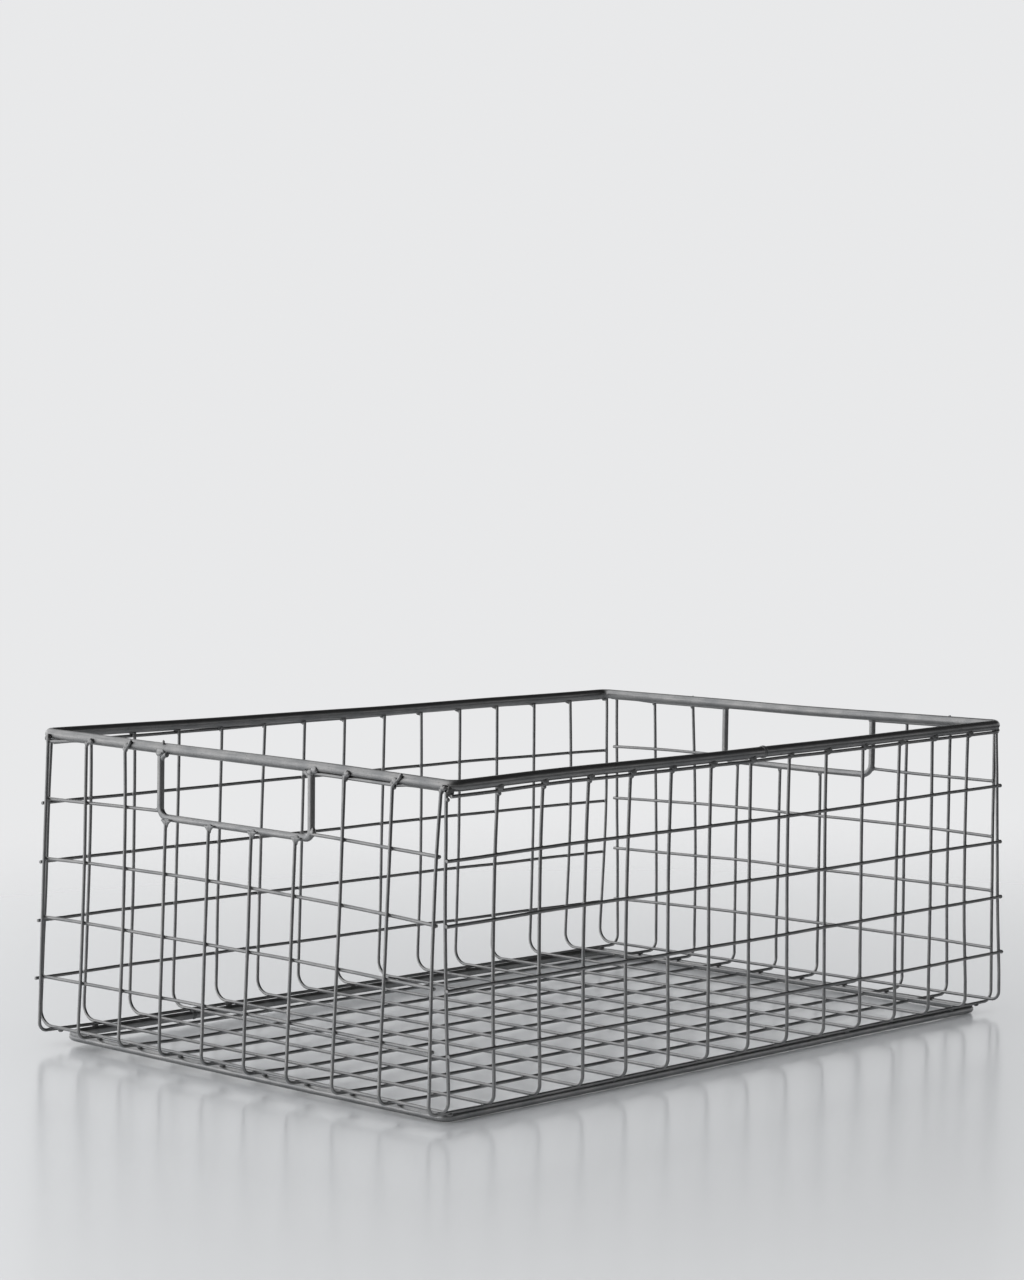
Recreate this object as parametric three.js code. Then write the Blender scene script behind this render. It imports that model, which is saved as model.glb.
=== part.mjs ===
// Open wire storage crate: a welded mesh tray on a base ring, closed by a heavy rim, with a hand
// hold in each end. Millimetres, Z up, length along X, width along Y, standing on Z = 0.
import * as THREE from 'three';

// Rod and wire diameters.
const WIRE_D = 1.7;
const RIM_D = 5.4;
const BASE_D = 4.2;
const GRIP_D = 3.5;

// Clearance left where two welded pieces meet.
const GAP = 0.3;

// Mesh: wires running along the length and wires running across the width.
const ALONG_COUNT = 10;
const ACROSS_COUNT = 15;
const ALONG_PITCH = 30;
const ACROSS_PITCH = 31;
const BEND_R = 6;

// Walls: distance outside the last floor wire, and how far each wall leans in at the rim.
const END_INSET = 5.8;
const SIDE_INSET = 7.2;
const END_LEAN = 4.35;
const SIDE_LEAN = 2.2;
const STUB = 2;

// Rows of level wires on the walls.
const ROW_COUNT = 4;
const ROW_PITCH = 30;
const LOW_ROW_Z = 31.7;
const END_ROW_LIFT = 2.8;

// Rim, base ring and hand holds.
const RIM_CLEAR = 0.5;
const RIM_OVER_SIDE = 0.8;
const RIM_CORNER_R = 6;
const HOOK_ANGLE = 25;
const BASE_INSET_X = 14.6;
const BASE_INSET_Y = 9.4;
const BASE_CORNER_R = 5;
const GRIP_WIDTH = 104;
const GRIP_DROP = 1.9;
const GRIP_CORNER_R = 5;

// Levels that follow from the rods lying on one another.
const wireR = WIRE_D / 2;
const step = WIRE_D + GAP;
const alongZ = BASE_D + GAP + wireR;
const acrossZ = alongZ + step;
const topRowZ = LOW_ROW_Z + ROW_COUNT * ROW_PITCH;
const rimZ = topRowZ + wireR + RIM_CLEAR + RIM_D / 2;
const hookR = RIM_D / 2 + wireR + GAP;

// Half sizes measured to rod centres.
const lastAcrossX = (ACROSS_COUNT - 1) * ACROSS_PITCH / 2;
const lastAlongY = (ALONG_COUNT - 1) * ALONG_PITCH / 2;
const endFootX = lastAcrossX + END_INSET;
const sideFootY = lastAlongY + SIDE_INSET;
const endTopX = endFootX - END_LEAN;
const sideTopY = sideFootY - SIDE_LEAN;
const rimX = endTopX - hookR;
const rimY = sideTopY + RIM_OVER_SIDE;
const baseX = endFootX - BASE_INSET_X;
const baseY = sideFootY - BASE_INSET_Y;

// Centre of an end upright and of a side upright at a height, on their leaning lines.
function endX(z) {
  const foot = alongZ + BEND_R;
  return endFootX - END_LEAN * (z - foot) / (rimZ - foot);
}

function sideY(z) {
  const foot = acrossZ + BEND_R;
  return sideFootY - SIDE_LEAN * (z - foot) / (rimZ - foot);
}

// Hand hold position.
const gripZ = LOW_ROW_Z + END_ROW_LIFT + (ROW_COUNT - 1) * ROW_PITCH - GRIP_DROP;
const gripX = endX(gripZ) - GRIP_D / 2 - wireR - GAP;
const gripTopZ = rimZ - RIM_D / 2 - GAP;
const gripEdge = GRIP_WIDTH / 2 + GRIP_D / 2 + GAP;

// Height of the hand hold's centre line above a place on the end wall, round its lower corners too.
function gripLineZ(y) {
  const intoCorner = Math.max(Math.abs(y) - (GRIP_WIDTH / 2 - GRIP_CORNER_R), 0);
  return gripZ + GRIP_CORNER_R - Math.sqrt(GRIP_CORNER_R ** 2 - intoCorner ** 2);
}

// A rod's centre line: a list of stations in one plane, each with the section's in-plane axis.
class RodPath extends THREE.Curve {
  constructor(stations, side, closed, twist = 0) {
    super();
    this.stations = stations;
    this.side = side;
    this.closed = closed;
    this.twist = twist;
  }

  getPointAt(u, target = new THREE.Vector3()) {
    const count = this.closed ? this.stations.length : this.stations.length - 1;
    const index = Math.round(u * count) % this.stations.length;
    return target.copy(this.stations[index]);
  }

  getPoint(u, target = new THREE.Vector3()) {
    return this.getPointAt(u, target);
  }

  computeFrenetFrames(segments) {
    const tangents = [];
    const normals = [];
    const binormals = [];
    const total = this.stations.length;
    for (let i = 0; i <= segments; i += 1) {
      const here = this.stations[i % total];
      const before = this.closed ? this.stations[(i - 1 + total) % total] : this.stations[Math.max(i - 1, 0)];
      const after = this.closed ? this.stations[(i + 1) % total] : this.stations[Math.min(i + 1, total - 1)];
      const incoming = here.clone().sub(before).normalize();
      const outgoing = after.clone().sub(here).normalize();
      const tangent = incoming.add(outgoing).normalize();
      const normal = this.side.clone().cross(tangent).normalize();
      const binormal = this.side.clone();
      tangents.push(tangent);
      normals.push(normal.applyAxisAngle(tangent, this.twist));
      binormals.push(binormal.applyAxisAngle(tangent, this.twist));
    }
    return { tangents, normals, binormals };
  }
}

// Section polygon with flats square to the contact directions; the flats lie on the rod's surface.
function section(diameter, sides) {
  const reach = diameter / 2 / Math.cos(Math.PI / sides);
  const shape = new THREE.Shape();
  for (let i = 0; i < sides; i += 1) {
    const angle = (i + 0.5) * 2 * Math.PI / sides;
    const x = reach * Math.cos(angle);
    const y = reach * Math.sin(angle);
    if (i === 0) {
      shape.moveTo(x, y);
    } else {
      shape.lineTo(x, y);
    }
  }
  shape.closePath();
  return shape;
}

// A rod with two cut ends.
function openRod(stations, side, diameter, sides) {
  const path = new RodPath(stations, side, false);
  return new THREE.ExtrudeGeometry(section(diameter, sides), {
    steps: stations.length - 1,
    extrudePath: path,
    bevelEnabled: false,
    curveSegments: 1,
  });
}

// A rod bent into a closed rectangle with rounded corners, lying level.
function ringRod(halfX, halfY, cornerR, z, diameter, sides, arcSteps) {
  const stations = [];
  const corners = [[1, 1, 0], [-1, 1, 90], [-1, -1, 180], [1, -1, 270]];
  for (const [sx, sy, start] of corners) {
    for (let i = 0; i <= arcSteps; i += 1) {
      const angle = THREE.MathUtils.degToRad(start + 90 * i / arcSteps);
      const x = sx * (halfX - cornerR) + cornerR * Math.cos(angle);
      const y = sy * (halfY - cornerR) + cornerR * Math.sin(angle);
      stations.push(new THREE.Vector3(x, y, z));
    }
  }
  const halfFlat = Math.PI / sides;
  const path = new RodPath(stations, new THREE.Vector3(0, 0, 1), true, halfFlat);
  return new THREE.TubeGeometry(path, stations.length, diameter / 2 / Math.cos(halfFlat), sides, true);
}

// Points of an arc in a plane given as (across, up) pairs.
function arcPoints(centreU, centreV, radius, fromDeg, toDeg, count) {
  const points = [];
  for (let i = 0; i <= count; i += 1) {
    const angle = THREE.MathUtils.degToRad(fromDeg + (toDeg - fromDeg) * i / count);
    points.push([centreU + radius * Math.cos(angle), centreV + radius * Math.sin(angle)]);
  }
  return points;
}

// Right half of a U-shaped wire: from the middle of the floor, round the bend and up the wall.
function halfU(footU, floorV, top) {
  const lean = THREE.MathUtils.radToDeg(Math.atan2(footU - top[0][0], top[0][1] - floorV - BEND_R));
  const bend = arcPoints(footU - BEND_R, floorV + BEND_R, BEND_R, -90, lean, 5);
  return [...bend, ...top];
}

// Mirror the right half to make the whole wire, from the left top end to the right top end.
function wholeU(half, place) {
  const left = half.map(([u, v]) => place(-u, v)).reverse();
  const right = half.map(([u, v]) => place(u, v));
  return [...left, ...right];
}

const group = new THREE.Group();
group.name = 'wire_storage_crate';

function add(name, geometry, color) {
  const material = new THREE.MeshStandardMaterial({ color, metalness: 0.85, roughness: 0.5 });
  material.name = `${name}_finish`;
  const mesh = new THREE.Mesh(geometry, material);
  mesh.name = name;
  group.add(mesh);
}

const pad = (n) => String(n).padStart(2, '0');
const WIRE_GREY = 0x55585b;
const ROD_GREY = 0x45484b;
const WIRE_SIDES = 8;
const ROD_SIDES = 12;

// Wires along the length: under the floor, then outside the end walls. Those beside the hand holds
// go up past the rim and hook in over its outer face; those below the hand holds stop at its bar.
for (let i = 0; i < ALONG_COUNT; i += 1) {
  const y = lastAlongY - i * ALONG_PITCH;
  const underGrip = Math.abs(y) < GRIP_WIDTH / 2 - wireR;
  let top = [[endTopX, rimZ], ...arcPoints(rimX, rimZ, hookR, HOOK_ANGLE / 2, HOOK_ANGLE, 1)];
  if (underGrip) {
    const cutZ = gripLineZ(y) + wireR;
    top = [[endX(cutZ), cutZ]];
  }
  const half = halfU(endFootX, alongZ, top);
  const stations = wholeU(half, (u, v) => new THREE.Vector3(u, y, v));
  const wire = openRod(stations, new THREE.Vector3(0, -1, 0), WIRE_D, WIRE_SIDES);
  add(`wire_along_${pad(i + 1)}`, wire, WIRE_GREY);
}

// Wires across the width: on top of the floor, then inside the side walls up to the rim.
for (let i = 0; i < ACROSS_COUNT; i += 1) {
  const x = i * ACROSS_PITCH - lastAcrossX;
  const topZ = rimZ - RIM_D / 2 - GAP;
  const half = halfU(sideFootY, acrossZ, [[sideY(topZ), topZ]]);
  const stations = wholeU(half, (u, v) => new THREE.Vector3(x, u, v));
  const wire = openRod(stations, new THREE.Vector3(1, 0, 0), WIRE_D, WIRE_SIDES);
  add(`wire_across_${pad(i + 1)}`, wire, WIRE_GREY);
}

// A straight level wire between two points.
function levelWire(name, from, to) {
  add(name, openRod([from, to], new THREE.Vector3(0, 0, 1), WIRE_D, WIRE_SIDES), WIRE_GREY);
}

// Level wires on the outside of the two long walls, the uppermost just below the rim.
for (const [label, sign] of [['near', -1], ['far', 1]]) {
  for (let row = 0; row <= ROW_COUNT; row += 1) {
    const z = LOW_ROW_Z + row * ROW_PITCH;
    const y = sign * (sideY(z) + step);
    const reach = lastAcrossX + STUB;
    const name = row === ROW_COUNT ? `${label}_side_top_wire` : `${label}_side_row_${row + 1}`;
    levelWire(name, new THREE.Vector3(-reach, y, z), new THREE.Vector3(reach, y, z));
  }
}

// Level wires on the inside of the two end walls. The row at the hand hold and the one under the rim
// are cut there into a piece on each side.
for (const [label, sign] of [['left', -1], ['right', 1]]) {
  const reach = lastAlongY + STUB;
  for (let row = 0; row < ROW_COUNT - 1; row += 1) {
    const z = LOW_ROW_Z + END_ROW_LIFT + row * ROW_PITCH;
    const x = sign * (endX(z) - step);
    levelWire(`${label}_end_row_${row + 1}`, new THREE.Vector3(x, -reach, z), new THREE.Vector3(x, reach, z));
  }
  const cutZ = LOW_ROW_Z + END_ROW_LIFT + (ROW_COUNT - 1) * ROW_PITCH;
  const cutX = sign * (endX(cutZ) - step);
  const tuckX = endTopX - step;
  const tuckZ = rimZ - Math.sqrt(Math.max(hookR * hookR - (tuckX - rimX) ** 2, hookR * hookR / 4));
  for (const [place, way] of [['near', -1], ['far', 1]]) {
    const start = way * gripEdge;
    const stop = way * reach;
    const rowName = `${label}_end_row_${ROW_COUNT}_${place}`;
    levelWire(rowName, new THREE.Vector3(cutX, start, cutZ), new THREE.Vector3(cutX, stop, cutZ));
    const topName = `${label}_end_top_wire_${place}`;
    const topX = sign * tuckX;
    levelWire(topName, new THREE.Vector3(topX, start, tuckZ), new THREE.Vector3(topX, stop, tuckZ));
  }
}

// Hand holds: a U of rod hanging from the rim in each end wall.
for (const [label, sign] of [['left', -1], ['right', 1]]) {
  const bend = arcPoints(GRIP_WIDTH / 2 - GRIP_CORNER_R, gripZ + GRIP_CORNER_R, GRIP_CORNER_R, -90, 0, 5);
  const half = [...bend, [GRIP_WIDTH / 2, gripTopZ]];
  const stations = wholeU(half, (u, v) => new THREE.Vector3(sign * gripX, u, v));
  add(`handle_${label}`, openRod(stations, new THREE.Vector3(1, 0, 0), GRIP_D, ROD_SIDES), ROD_GREY);
}

// Rim round the top and base ring under the floor.
add('top_rim', ringRod(rimX, rimY, RIM_CORNER_R, rimZ, RIM_D, ROD_SIDES, 5), ROD_GREY);
add('base_ring', ringRod(baseX, baseY, BASE_CORNER_R, BASE_D / 2, BASE_D, ROD_SIDES, 5), ROD_GREY);

export default group;
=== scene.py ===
# %% [markdown]
# A welded wire crate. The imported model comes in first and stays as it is: it holds the true sizes
# and places of all the rods. Its rods have flat sides and stand a hair apart, which suits a solid
# model. Here each one is made again as a round, slightly uneven rod that touches its neighbours,
# and the welds that hold them together are added.

# %% Load the crate
import math

import bmesh
import bpy
from mathutils import Matrix, Vector, kdtree, noise


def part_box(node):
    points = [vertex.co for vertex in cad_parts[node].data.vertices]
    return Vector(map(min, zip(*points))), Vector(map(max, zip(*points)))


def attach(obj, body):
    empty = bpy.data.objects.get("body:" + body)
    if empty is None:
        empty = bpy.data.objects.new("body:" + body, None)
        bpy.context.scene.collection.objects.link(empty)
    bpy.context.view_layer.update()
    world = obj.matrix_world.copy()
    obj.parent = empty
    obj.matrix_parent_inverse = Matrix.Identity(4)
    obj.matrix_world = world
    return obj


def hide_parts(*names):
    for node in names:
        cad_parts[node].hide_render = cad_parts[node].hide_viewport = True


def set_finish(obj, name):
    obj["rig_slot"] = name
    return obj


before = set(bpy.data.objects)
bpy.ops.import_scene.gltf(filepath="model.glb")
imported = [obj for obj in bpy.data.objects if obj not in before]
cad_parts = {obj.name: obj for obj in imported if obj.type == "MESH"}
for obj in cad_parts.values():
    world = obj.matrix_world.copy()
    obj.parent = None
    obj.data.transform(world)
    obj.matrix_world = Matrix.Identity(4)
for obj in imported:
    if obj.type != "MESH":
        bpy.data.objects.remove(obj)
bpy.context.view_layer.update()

# %% [markdown]
# The camera stands where the photographer stood: low, a little above the rim, in front of the near
# corner. The angles, the place and the focal length come from fitting a pinhole camera to the
# wires. The focal length is given in pixels of a picture 1024 wide, so the sensor is fitted to the
# width.

# %% Camera
PICTURE_WIDTH = 1024
FOCAL_PIXELS = 3431.1
SENSOR_WIDTH = 36.0
CAMERA_TURN = math.radians(-47.831)
CAMERA_DOWN = math.radians(3.888)
CAMERA_TILT = math.radians(0.878)
CAMERA_PLACE = (-1.3314, -1.1863, 0.3251)

lens = bpy.data.cameras.new("crate_camera")
lens.sensor_fit = "HORIZONTAL"
lens.sensor_width = SENSOR_WIDTH
lens.lens = FOCAL_PIXELS * SENSOR_WIDTH / PICTURE_WIDTH
camera = bpy.data.objects.new("crate_camera", lens)
bpy.context.scene.collection.objects.link(camera)
turned = Matrix.Rotation(CAMERA_TURN, 4, "Z")
lowered = Matrix.Rotation(math.pi / 2 - CAMERA_DOWN, 4, "X")
tilted = Matrix.Rotation(CAMERA_TILT, 4, "Z")
camera.matrix_world = Matrix.Translation(CAMERA_PLACE) @ turned @ lowered @ tilted
bpy.context.scene.camera = camera
print("lens:", round(lens.lens, 1), "mm")

# %% [markdown]
# Sizes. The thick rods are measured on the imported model, so they follow it. Where two wires are
# welded they are pressed a little into each other, so the wires here lie closer than in the solid
# model: the floor wires rest on the base ring, and the wall wires on the uprights.

# %% Measure the rods
MM = 0.001
PRESS = 0.1 * MM
WIRE_R = 0.85 * MM
HANDLE_R = 1.75 * MM
BEND_R = 6.0 * MM
RIM_CORNER_R = 6.0 * MM

rim_low, rim_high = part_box("top_rim")
RIM_R = (rim_high.z - rim_low.z) / 2
rim_z = (rim_high.z + rim_low.z) / 2
rim_x = rim_high.x - RIM_R
rim_y = rim_high.y - RIM_R

base_low, base_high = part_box("base_ring")
BASE_R = (base_high.z - base_low.z) / 2
base_x = base_high.x - BASE_R
base_y = base_high.y - BASE_R

WIRE_STEP = 2 * WIRE_R - PRESS
along_z = base_high.z + WIRE_R - PRESS
across_z = along_z + WIRE_STEP
end_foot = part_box("wire_along_01")[1].x - WIRE_R
side_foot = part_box("wire_across_01")[1].y - WIRE_R
print("rim rod", round(RIM_R * 2 / MM, 2), "mm, base rod", round(BASE_R * 2 / MM, 2), "mm")

# %% [markdown]
# The walls lean: the crate is a few millimetres wider at the foot than at the rim. These two lines
# say how far out an upright stands at a given height. The end uprights run up the outside of the
# rim, and the side uprights stop below it.

# %% Leaning walls
SIDE_LEAN = 2.2 * MM
HOOK_R = RIM_R + WIRE_R - PRESS
end_lean = math.atan2(end_foot - rim_x - HOOK_R, rim_z - along_z - BEND_R)
side_lean = math.atan2(SIDE_LEAN, rim_z - across_z - BEND_R)


def end_line(z):
    return end_foot - math.tan(end_lean) * (z - along_z - BEND_R)


def side_line(z):
    return side_foot - math.tan(side_lean) * (z - across_z - BEND_R)


leans = [round(math.degrees(angle), 2) for angle in (end_lean, side_lean)]
print("end walls and side walls lean", leans, "degrees")

# %% [markdown]
# No wire on a hand-made crate is dead straight. A slow drift belongs to the place, so that rods
# that are welded together move together. A quicker one belongs to one wire and runs sideways in
# its own wall, where it can't open a weld. Both come from Blender's smooth noise, and with its
# seed set it gives the same result each time.
#
# The right end of this crate is also a touch further out. The base is a little warped: it stands
# on three corners, the far left one is off the ground, and the walls as a whole stand a little
# higher than in the solid model.

# %% Drift
SWAY = 0.6 * MM
SWAY_SPAN = 110 * MM
WANDER = 0.3 * MM
WANDER_SPAN = 42 * MM
SEED_STEP = Vector((3.7, 1.9, 2.3))
STILL_TO = 7.5 * MM
SWAY_FROM = 25 * MM
STRETCH_FROM = 120 * MM
RIGHT_STRETCH = 1.8 * MM
RAISED = 0.9 * MM
CORNER_LIFT = {"near": (0.2 * MM, 0.4 * MM), "far": (2.7 * MM, 0.0)}
FLOOR_TO = 8 * MM
WALL_FROM = 28 * MM
noise.seed_set(4)
last_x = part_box("wire_across_15")[0].x + WIRE_R
last_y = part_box("wire_along_01")[0].y + WIRE_R


def held(share):
    return min(max(share, 0.0), 1.0)


def ease(value, low, high):
    share = held((value - low) / (high - low))
    return share * share * (3 - 2 * share)


def lift(at):
    """How far the floor stands off the ground here; above the floor it is the same all over."""
    along = held(0.5 + 0.5 * at.x / last_x)
    across = held(0.5 + 0.5 * at.y / last_y)
    near, far = (low + (high - low) * along for low, high in CORNER_LIFT.values())
    floor_lift = near + (far - near) * across
    return floor_lift + (RAISED - floor_lift) * ease(at.z, FLOOR_TO, WALL_FROM)


def sway(at):
    drift = noise.noise_vector(at / SWAY_SPAN) * SWAY
    drift.z *= ease(at.z, STILL_TO, SWAY_FROM)
    drift.x += RIGHT_STRETCH * ease(at.x, STRETCH_FROM, last_x)
    drift.z += lift(at)
    return drift


def wander(at, sideways, seed):
    along = Vector(at)
    along[sideways] = 0.0
    offset = Vector((0.0, 0.0, 0.0))
    offset[sideways] = WANDER * noise.noise(along / WANDER_SPAN + SEED_STEP * seed)
    return offset


print("right end stands", round(sway(Vector((last_x, 0, 0.1))).x / MM, 2), "mm further out")

# %% [markdown]
# Each wire also has a lean of its own. The leans were read off the photograph wire by wire, in
# millimetres, at three places: foot, middle and top of an upright, and both ends and the middle of
# a level wire. The rim is slightly twisted, as rims are after welding: two opposite corners stand
# up and the other two hang down. The left edge of the floor was bent up a little above the base
# ring.

# %% Leans and bows
UPRIGHT_LEANS = {
    "near": [
        (0.3, -2.1, -0.6), (-0.3, -1.2, 2), (0.2, -0.9, 1.7), (-0.4, -0.5, 2.5),
        (-0.2, -0.7, 1.8), (0.3, -0.4, 1.6), (-0.3, -0.1, 1.3), (0.5, 0.2, 1.6),
        (1, -0.2, 1.6), (0.7, -0.1, 0.8), (0.5, 0.2, 1), (0.3, 0.2, 2),
        (-0.7, -0.5, -0.1), (1.1, -1.3, 0.3), (1.3, -1.9, -3.1),
    ],
    "far": [
        (1.5, 3.9, 5.3), (-0.5, 1.2, 0.9), (-0.4, 0.1, -0.9), (-1.1, -0.8, -0.9),
        (-1.9, -1.6, -1.2), (-2.8, -2.2, -0.9), (-3.3, -2.5, -2.1), (-4.4, -2.5, -2.7),
        (-2.7, -2.1, -2.3), (-2.1, -1.6, -3.6), (-1.9, -1.5, -3.2), (-2, -1.4, -2.9),
        (-0.3, -0.7, -2.5), (-0.3, 0.4, -2.2), (-0.2, 1.1, -1.3),
    ],
    "left": [
        (-0.3, -0.5, -0.4), (-0.2, -1, 0.2), (-0.6, -0.9, 1.4), (-0.5, 0.2, 0.5),
        (-0.7, -0.1, -0.2), (-0.4, 0.4, 0.4), (0.5, 1.2, 0.6), (0.7, 0.3, 0),
        (0.2, -0.1, -1.2), (-1, 0.4, -1.5),
    ],
    "right": [
        (-1.5, -0.9, -1.3), (-1.3, -1.2, -0.7), (-0.6, -0.9, 0), (-0.4, -1.8, -4.3),
        (-1, -2.9, -4.6), (-0.4, -1.8, -2.9), (-0.5, -1.3, -2.1), (0.3, -0.4, -2),
        (0.3, 0.2, -1.3), (0.9, 0.5, -0.2),
    ],
}
ROW_BOWS = {
    "far_side_row_1": (0.8, -0.1, -2.3),
    "far_side_row_2": (0, -0.4, -2.3),
    "far_side_row_3": (-0.3, -0.1, -1.8),
    "far_side_row_4": (-0.4, 0.1, -1.3),
    "far_side_top_wire": (0, 0.4, 0.5),
    "left_end_row_1": (-0.8, 0.6, 0.3),
    "left_end_row_2": (-2.2, 0.5, 0.3),
    "left_end_row_3": (-3.6, 0.9, -0.2),
    "left_end_row_4_far": (1.6, 0.7, 0),
    "left_end_row_4_near": (-2.3, -1.2, -0.2),
    "near_side_row_1": (0.7, 0.7, 1.1),
    "near_side_row_2": (0.3, 0.7, 1.4),
    "near_side_row_3": (-0.3, 0.5, 1.4),
    "near_side_row_4": (-0.8, 0.2, 1.9),
    "near_side_top_wire": (-1.9, -0.3, 1.1),
    "right_end_row_1": (-0.9, -0.6, -2.6),
    "right_end_row_2": (0.7, 0.1, -2.4),
    "right_end_row_3": (0.3, 1.1, -2.2),
    "right_end_row_4_far": (-0.3, -0.3, -1.4),
    "right_end_row_4_near": (0.8, 0.5, 1),
}
RIM_TWIST = {
    "near": (-1.5, -0.4, 0.8), "far": (1.1, -1.05, -0.9),
    "left": (-1.5, 0.15, 1.1), "right": (0.8, -0.8, -0.9),
}
LEFT_RISE = (0.5, 1.3, 0.6)
print("near rim falls and rises", RIM_TWIST["near"], "mm")

# %% [markdown]
# A smooth curve through the three readings gives the lean anywhere between them. The helpers below
# turn the tables into moves: one for a wire's lean, one for the floor's left edge and one for the
# rim's twist, which fades out down the walls.

# %% Moves from the tables
LEAN_FROM = 20 * MM
LEAN_TO = 152 * MM
RISE_FROM = 175 * MM
RISE_TO = 225 * MM
TWIST_FROM = 122 * MM
TWIST_TO = 150 * MM


def through(three, share):
    """The value at a share of the way along a smooth curve through three values, in metres."""
    low, mid, high = three
    share = held(share)
    low_part = low * (1 - share) * (1 - 2 * share)
    return (low_part + mid * 4 * share * (1 - share) + high * share * (2 * share - 1)) * MM


def upright_lean(wall, number, z):
    return through(UPRIGHT_LEANS[wall][number], (z - LEAN_FROM) / (LEAN_TO - LEAN_FROM))


def lean(at, first_wall, second_wall, number, across):
    """A wire's lean, blended along the floor from one wall to the other."""
    first = upright_lean(first_wall, number, at.z)
    return first + (upright_lean(second_wall, number, at.z) - first) * across


def end_rise(at):
    """How far the floor's left edge was bent up above the base ring."""
    rise = through(LEFT_RISE, 0.5 + 0.5 * at.y / last_y) * ease(-at.x, RISE_FROM, RISE_TO)
    return Vector((0, 0, rise * (1 - ease(at.z, FLOOR_TO, WALL_FROM))))


def rim_twist(at):
    """How far the rim stands above or below level, fading out down the walls."""
    if abs(at.y) > rim_y - RIM_CORNER_R:
        rise = through(RIM_TWIST["near" if at.y < 0 else "far"], 0.5 + 0.5 * at.x / rim_x)
    else:
        rise = through(RIM_TWIST["left" if at.x < 0 else "right"], 0.5 + 0.5 * at.y / rim_y)
    return Vector((0, 0, rise * ease(at.z, TWIST_FROM, TWIST_TO)))


print("first far upright's top leans", round(upright_lean("far", 0, LEAN_TO) / MM, 1), "mm")

# %% [markdown]
# A rod is made as it is on the bench. It starts as a round cut end. Drawing it out extrudes that
# end and cuts the new length into rings, which can then wander. Bending spins the end about the
# middle of the bend. Each point keeps its place round and along the rod in "grain", because the
# marks that drawing leaves on iron run along it.

# %% A rod on the bench
RING_SPACING = 5 * MM
BEND_STEPS = 8
CHAMFER = 0.18 * MM


class Rod:
    def __init__(self, radius, sides, start, heading):
        self.bm = bmesh.new()
        self.heading = Vector(heading).normalized()
        self.length = 0.0
        self.grain = self.bm.verts.layers.float_vector.new("grain")
        facing = self.heading.to_track_quat("Z", "Y").to_matrix().to_4x4()
        hoop = bmesh.ops.create_circle(
            self.bm, cap_ends=True, segments=sides, radius=radius,
            matrix=Matrix.Translation(start) @ facing)["verts"]
        for corner, vert in enumerate(hoop):
            angle = math.tau * corner / sides
            vert[self.grain] = (math.cos(angle), math.sin(angle), 0.0)
        self.first = self.end = hoop[0].link_faces[0]

    def region(self):
        return [self.end, *self.end.edges, *self.end.verts]

    def step_on(self, grown, length):
        self.end = next(item for item in grown if isinstance(item, bmesh.types.BMFace))
        self.length += length
        for vert in self.end.verts:
            round_x, round_y, _ = vert[self.grain]
            vert[self.grain] = (round_x, round_y, self.length)

    def draw(self, length, spacing=RING_SPACING):
        grown = bmesh.ops.extrude_face_region(self.bm, geom=self.region())["geom"]
        self.step_on(grown, length)
        bmesh.ops.translate(self.bm, vec=self.heading * length, verts=list(self.end.verts))
        hoop = set(self.end.edges)
        runs = [edge for vert in self.end.verts for edge in vert.link_edges if edge not in hoop]
        cuts = max(round(length / spacing) - 1, 0)
        if cuts:
            bmesh.ops.subdivide_edges(self.bm, edges=runs, cuts=cuts, use_grid_fill=True)
        return self

    def bend(self, centre, axis, angle, steps=BEND_STEPS):
        turn = angle / steps
        reach = (self.end.calc_center_median() - Vector(centre)).length
        for _ in range(steps):
            grown = bmesh.ops.spin(
                self.bm, geom=self.region(), cent=centre, axis=axis, angle=turn, steps=1,
                use_merge=False, use_duplicate=False)["geom_last"]
            self.step_on(grown, abs(turn) * reach)
        self.heading = Matrix.Rotation(angle, 3, axis) @ self.heading
        return self

    def chamfer_ends(self):
        hoops = [*self.first.edges, *self.end.edges]
        bmesh.ops.bevel(
            self.bm, geom=hoops, offset=CHAMFER, offset_type="OFFSET", affect="EDGES",
            segments=2, profile=0.5, material=-1, clamp_overlap=True)
        return self

    def close_ring(self):
        hoops = [*self.first.edges, *self.end.edges]
        bmesh.ops.delete(self.bm, geom=[self.first, self.end], context="FACES_ONLY")
        bmesh.ops.bridge_loops(self.bm, edges=hoops)
        return self

    def settle(self, *moves):
        for vert in self.bm.verts:
            at = vert.co.copy()
            for move in moves:
                vert.co += move(at)
        return self


print("rings every", round(RING_SPACING / MM), "mm,", BEND_STEPS, "steps to a bend")

# %% [markdown]
# A finished shape becomes a piece: its faces are turned outwards, it is shaded smooth, it rides on
# the crate's one body, it says which finish it has, and the solid it stands for, if any, is hidden.

# %% Make a piece
made_pieces = []
WIRE_SIDES = 12
ROD_SIDES = 24


def make_piece(name, bm, slot, node=None):
    bmesh.ops.recalc_face_normals(bm, faces=bm.faces[:])
    for face in bm.faces:
        face.smooth = len(face.verts) <= 4
    mesh = bpy.data.meshes.new(name)
    bm.to_mesh(mesh)
    bm.free()
    piece = bpy.data.objects.new(name, mesh)
    bpy.context.scene.collection.objects.link(piece)
    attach(piece, "root")
    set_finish(piece, slot)
    if node:
        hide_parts(node)
    made_pieces.append(piece)


def node_names(prefix):
    return sorted(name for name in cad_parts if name.startswith(prefix))


def middle(node):
    low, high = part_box(node)
    return (low + high) / 2


print(len(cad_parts), "solids to make again")

# %% [markdown]
# Most of the crate is wire bent into a wide U: one upright, a bend, the run through the floor,
# another bend and the other upright. It is drawn in one go from one top end to the other. A hooked
# one also bends over the rim a little at both tops, and has finer rings there.

# %% A U of wire
UP = Vector((0, 0, 1))
HOOK_SHANK = 9 * MM
HOOK_STEPS = 4


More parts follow.
